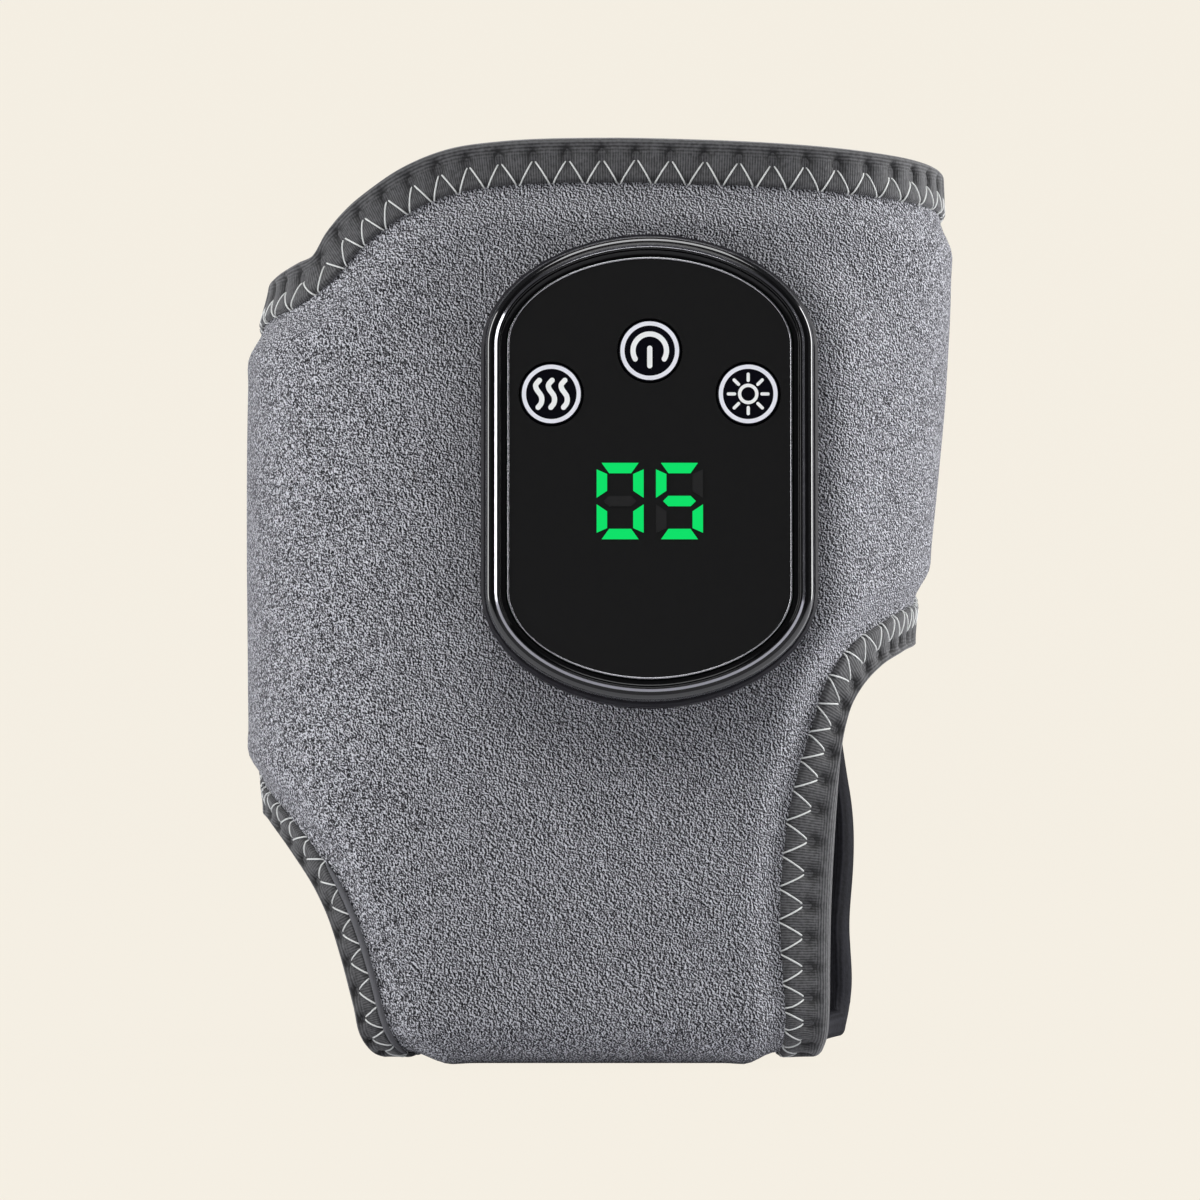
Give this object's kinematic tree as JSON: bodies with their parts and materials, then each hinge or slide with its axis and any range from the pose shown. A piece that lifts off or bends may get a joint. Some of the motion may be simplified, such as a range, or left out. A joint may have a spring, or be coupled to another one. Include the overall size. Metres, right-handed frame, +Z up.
{
  "type": "heated ankle and foot wrap",
  "caption": "Padded wrap closed round an ankle, open at toe and heel, with a glossy control pod, lit digits and round icon buttons on its near face.",
  "frame": {"origin": "middle of the flat sole, where the wrap rests", "axes": "+Z up the leg, +X towards the toes, -Y out of the face that carries the control pod"},
  "size_m": [0.1397, 0.107, 0.18],
  "materials": {
    "fleece": "heathered grey fleece over thin foam",
    "lining": "dark plush",
    "binding": "ribbed elastic tape",
    "hook_pad": "fine moulded hooks",
    "heating_film": "amber film with printed tracks",
    "heater_ribbon": "flat flexible strip",
    "sensor_bead": "smooth bead",
    "pod_shell": "fine matte grain",
    "pod_gloss": "polished black",
    "pod_lens": "polished smoked black",
    "pod_trim": "bright plated",
    "circuit_board": "solder mask",
    "display_black": "black frame with light windows",
    "switch_metal": "plain stamped steel",
    "battery_cell": "foil pouch",
    "lead_rubber": "smooth sleeve"
  },
  "bodies": {
    "wrap": {"backing_plate": "pod_shell", "battery_cell": "battery_cell", "charging_socket": "switch_metal", "circuit_board": "circuit_board", "collar_binding": "binding", "display_module": "display_black", "far_heating_film": "heating_film", "foot_opening_binding": "binding", "front_lens": "pod_lens", "heat_switch": "switch_metal", "heater_lead": "lead_rubber", "heater_link_ribbon": "heater_ribbon", "heel_opening_binding": "binding", "lead_grommet": "lead_rubber", "lens_trim_ring": "pod_trim", "light_switch": "switch_metal", "near_heating_film": "heating_film", "pod_base": "pod_shell", "pod_front_case": "pod_gloss", "pod_screw_1": "switch_metal", "pod_screw_2": "switch_metal", "pod_screw_3": "switch_metal", "pod_screw_4": "switch_metal", "power_switch": "switch_metal", "temperature_sensor": "sensor_bead", "wing_end_binding": "binding", "wrap_cover": "fleece", "wrap_lining": "lining"},
    "leg_flap": {"leg_flap_cover": "fleece", "leg_flap_lining": "lining", "leg_flap_binding": "binding", "leg_flap_hook_pad": "hook_pad"},
    "foot_strap": {"foot_strap_cover": "fleece", "foot_strap_lining": "lining", "foot_strap_binding": "binding", "foot_strap_hook_pad": "hook_pad"},
    "power_button": {"power_button": "pod_gloss"},
    "heat_button": {"heat_button": "pod_gloss"},
    "light_button": {"light_button": "pod_gloss"}
  },
  "joints": [
    {"name": "leg_flap_fold", "type": "hinge", "parent": "wrap", "child": "leg_flap", "pos_m": [-0.06235, 0.02256, 0.12258], "axis": [0.0044, -0.0362, 0.9993], "range_deg": [0, 110]},
    {"name": "foot_strap_fold", "type": "hinge", "parent": "wrap", "child": "foot_strap", "pos_m": [0, 0.04135, 0.02], "axis": [-1, 0, 0], "range_deg": [0, 90]},
    {"name": "power_button_press", "type": "slide", "parent": "wrap", "child": "power_button", "axis": [0, 0.9983, -0.0588], "range_m": [0, 0.0005], "stiffness_N_per_m": 1500},
    {"name": "heat_button_press", "type": "slide", "parent": "wrap", "child": "heat_button", "axis": [0, 0.9983, -0.0588], "range_m": [0, 0.0005], "stiffness_N_per_m": 1500},
    {"name": "light_button_press", "type": "slide", "parent": "wrap", "child": "light_button", "axis": [0, 0.9983, -0.0588], "range_m": [0, 0.0005], "stiffness_N_per_m": 1500}
  ]
}
